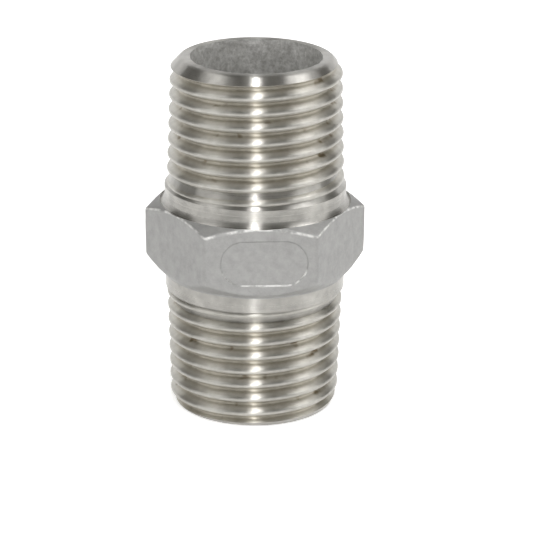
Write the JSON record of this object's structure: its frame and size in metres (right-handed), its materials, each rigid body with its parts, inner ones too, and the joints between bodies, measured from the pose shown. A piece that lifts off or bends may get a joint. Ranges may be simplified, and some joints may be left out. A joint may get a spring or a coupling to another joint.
{
  "type": "hex nipple",
  "caption": "Straight pipe nipple with a male taper thread on each end, a plain bore right through and a hexagon between the threads for a wrench.",
  "frame": {"origin": "centre of the lower end face, on the bore's axis", "axes": "+Z along the bore from the lower end to the upper end, -Y out of the hexagon flat that carries the blank sunk panel"},
  "size_m": [0.0266, 0.023, 0.0434],
  "materials": {
    "stainless_steel": "investment cast stainless steel, matt on the hexagon and in the bore, bright turned threads, collars and end faces"
  },
  "bodies": {
    "root": {"nipple_body": "stainless_steel"}
  },
  "joints": []
}
